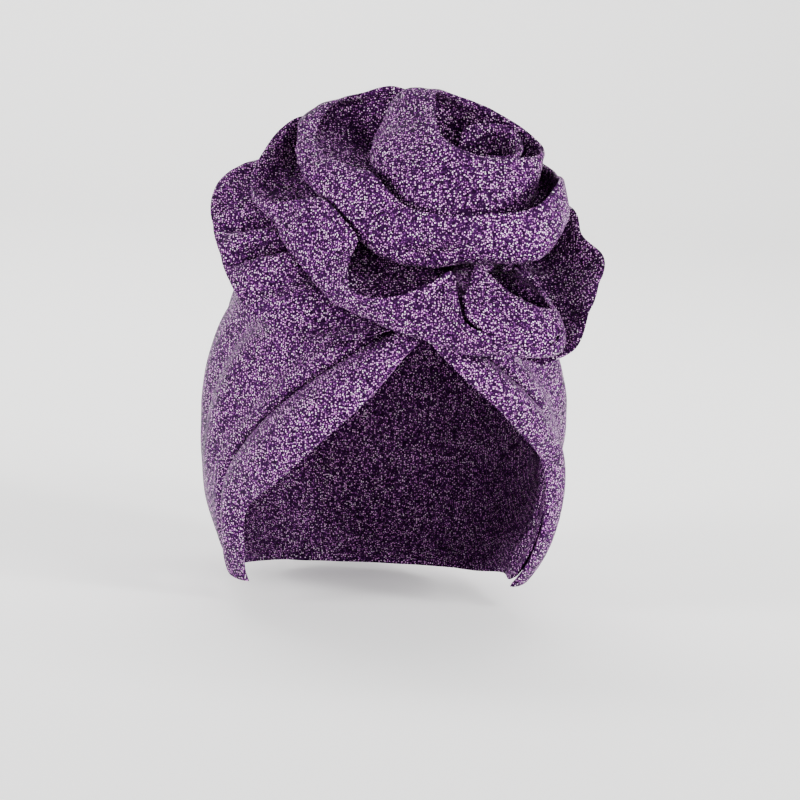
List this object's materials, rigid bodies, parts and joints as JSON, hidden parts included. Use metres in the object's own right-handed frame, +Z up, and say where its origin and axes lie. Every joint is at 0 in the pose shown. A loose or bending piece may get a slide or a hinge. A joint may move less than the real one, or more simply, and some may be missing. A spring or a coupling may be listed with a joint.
{
  "type": "floral turban cap",
  "caption": "Stretch-knit head wrap: a hollow pull-on cap with arched front bands that meet under a large coiled fabric rose.",
  "frame": {"origin": "middle of the head hollow, level with the cap's widest line just above the ears", "axes": "+Z up toward the crown, -Y toward the face, +X toward the wearer's left"},
  "size_m": [0.1674, 0.2226, 0.2331],
  "materials": {
    "crown": "purple metallic-thread glitter knit",
    "front_band_right": "purple metallic-thread glitter knit",
    "front_band_left": "purple metallic-thread glitter knit",
    "rose_heart": "purple metallic-thread glitter knit",
    "rose_bud": "purple metallic-thread glitter knit",
    "rose_wrap": "purple metallic-thread glitter knit",
    "rose_ruffle_low": "purple metallic-thread glitter knit",
    "rose_tuck": "purple metallic-thread glitter knit",
    "rose_ruffle_right": "purple metallic-thread glitter knit",
    "rose_ruffle_back": "purple metallic-thread glitter knit",
    "rose_ruffle_left": "purple metallic-thread glitter knit"
  },
  "bodies": {
    "root": {"crown": "crown", "front_band_right": "front_band_right", "front_band_left": "front_band_left", "rose_heart": "rose_heart", "rose_bud": "rose_bud", "rose_wrap": "rose_wrap", "rose_ruffle_low": "rose_ruffle_low", "rose_tuck": "rose_tuck", "rose_ruffle_right": "rose_ruffle_right", "rose_ruffle_back": "rose_ruffle_back", "rose_ruffle_left": "rose_ruffle_left"}
  },
  "joints": []
}
